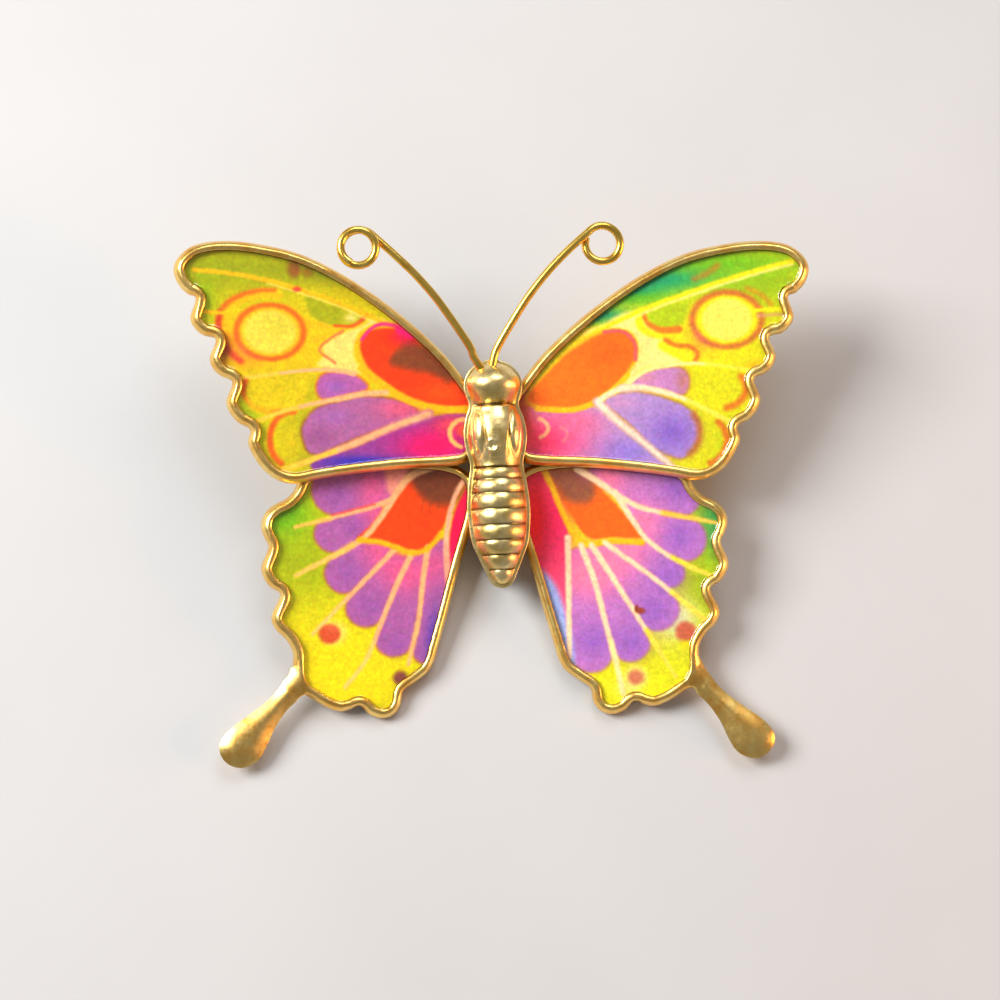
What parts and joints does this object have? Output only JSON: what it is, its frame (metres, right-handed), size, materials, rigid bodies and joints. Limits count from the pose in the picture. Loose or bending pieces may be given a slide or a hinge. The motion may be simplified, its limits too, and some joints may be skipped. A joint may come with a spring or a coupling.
{
  "type": "butterfly brooch",
  "caption": "Butterfly brooch with printed, resin-filled wing trays in gold-tone rims, a ringed cast body, coiled wire antennae and a hinged bar pin with a turning safety catch.",
  "frame": {"origin": "middle of the pin stem's axis, halfway between hinge and catch", "axes": "+X along the stem and the wingspan, towards the hinge; +Y towards the head; +Z out of the front, up from the table on which the brooch lies on its pin and lower wing edges"},
  "size_m": [0.0594, 0.0492, 0.014],
  "materials": {
    "tray_gold": "polished gold-tone plating, worn on the rims",
    "body_gold": "pale gold-tone casting, softly polished",
    "wire_gold": "drawn gold-tone wire",
    "finding_gold": "gold-tone plated findings, satin",
    "steel": "hard drawn pin wire, bright",
    "forewing_print": "printed sheet in yellow, lime, orange and violet",
    "hindwing_print": "printed sheet in violet, orange, pink and yellow",
    "clear_resin": "clear domed resin, glossy"
  },
  "bodies": {
    "brooch": {"body_shell": "body_gold", "body_base": "body_gold", "back_plate": "tray_gold", "wing_seat_left": "tray_gold", "wing_seat_right": "tray_gold", "forewing_tray_left": "tray_gold", "forewing_tray_right": "tray_gold", "forewing_print_left": "forewing_print", "forewing_print_right": "forewing_print", "forewing_resin_left": "clear_resin", "forewing_resin_right": "clear_resin", "hindwing_tray_left": "tray_gold", "hindwing_tray_right": "tray_gold", "hindwing_print_left": "hindwing_print", "hindwing_print_right": "hindwing_print", "hindwing_resin_left": "clear_resin", "hindwing_resin_right": "clear_resin", "antenna_left": "wire_gold", "antenna_right": "wire_gold", "pin_bar": "finding_gold", "hinge_bracket": "finding_gold", "hinge_rivet": "steel", "catch_housing": "finding_gold"},
    "stem": {"pin_stem": "steel"},
    "catch": {"catch_rotor": "finding_gold"}
  },
  "joints": [
    {"name": "stem_hinge", "type": "hinge", "parent": "brooch", "child": "stem", "pos_m": [0.0105, 0, 0], "axis": [0, -0.9821, -0.1885], "range_deg": [0, 75]},
    {"name": "catch_turn", "type": "hinge", "parent": "brooch", "child": "catch", "pos_m": [-0.0102, 0, 0], "axis": [-1, 0, 0], "range_deg": [0, 150]}
  ]
}
